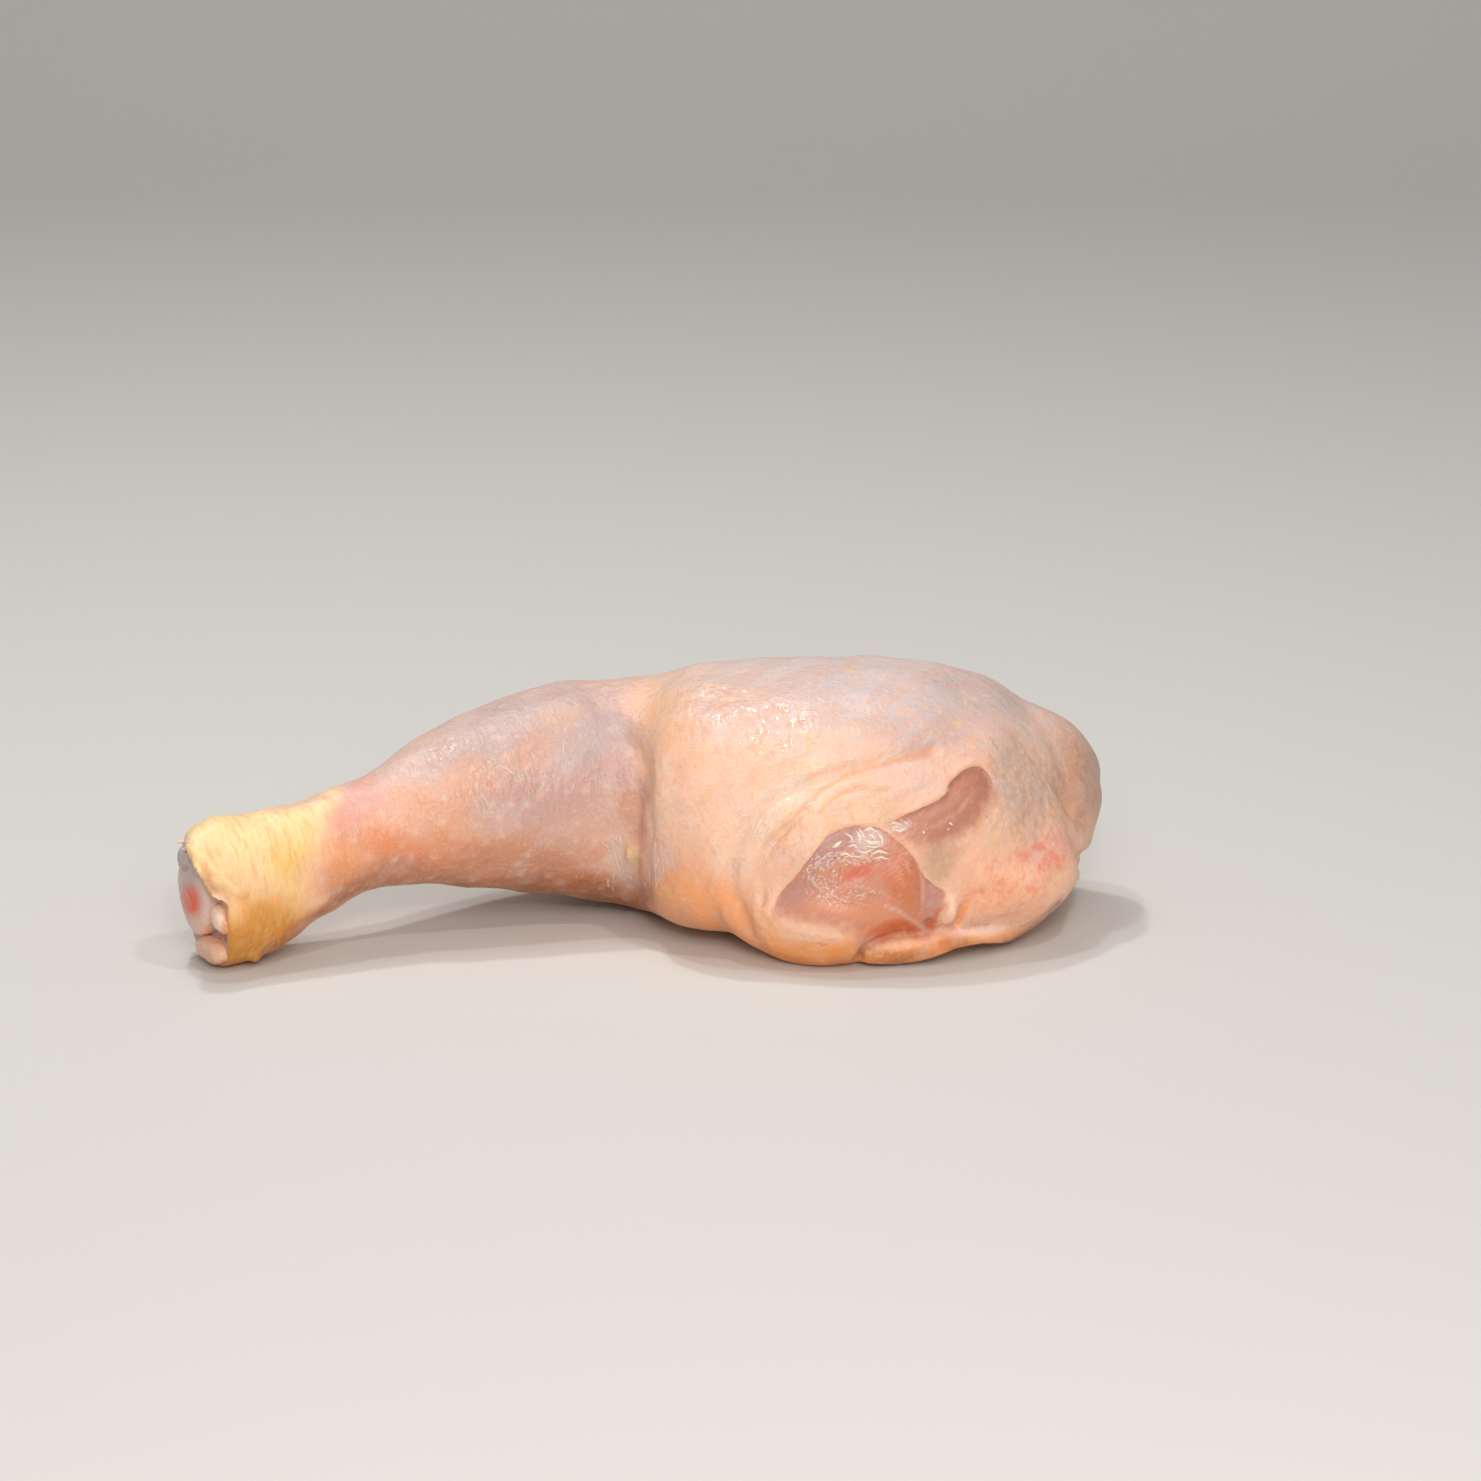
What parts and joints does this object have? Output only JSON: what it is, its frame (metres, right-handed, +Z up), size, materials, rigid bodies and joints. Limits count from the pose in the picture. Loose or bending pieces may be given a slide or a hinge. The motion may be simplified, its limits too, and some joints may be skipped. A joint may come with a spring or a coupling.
{
  "type": "raw chicken leg quarter",
  "caption": "Raw chicken leg quarter, thigh and drumstick in one piece with the skin on, the shin bone and tendons showing at the cut hock.",
  "frame": {"origin": "middle of the underside of the box around the part", "axes": "+Z up off the board, +X from the cut hock to the hip, +Y away from the side that the skin is torn on"},
  "size_m": [0.211, 0.0882, 0.0602],
  "materials": {
    "skin": "moist raw skin, pink and peach, yellow at the hock",
    "bone": "moist grey-white gristle",
    "marrow": "moist dark red",
    "tendon": "moist pink"
  },
  "bodies": {
    "root": {"leg_quarter": "skin", "shin_bone": "bone", "marrow": "marrow", "heel_tendon": "tendon", "side_tendon": "tendon", "shin_tendon": "tendon"}
  },
  "joints": []
}
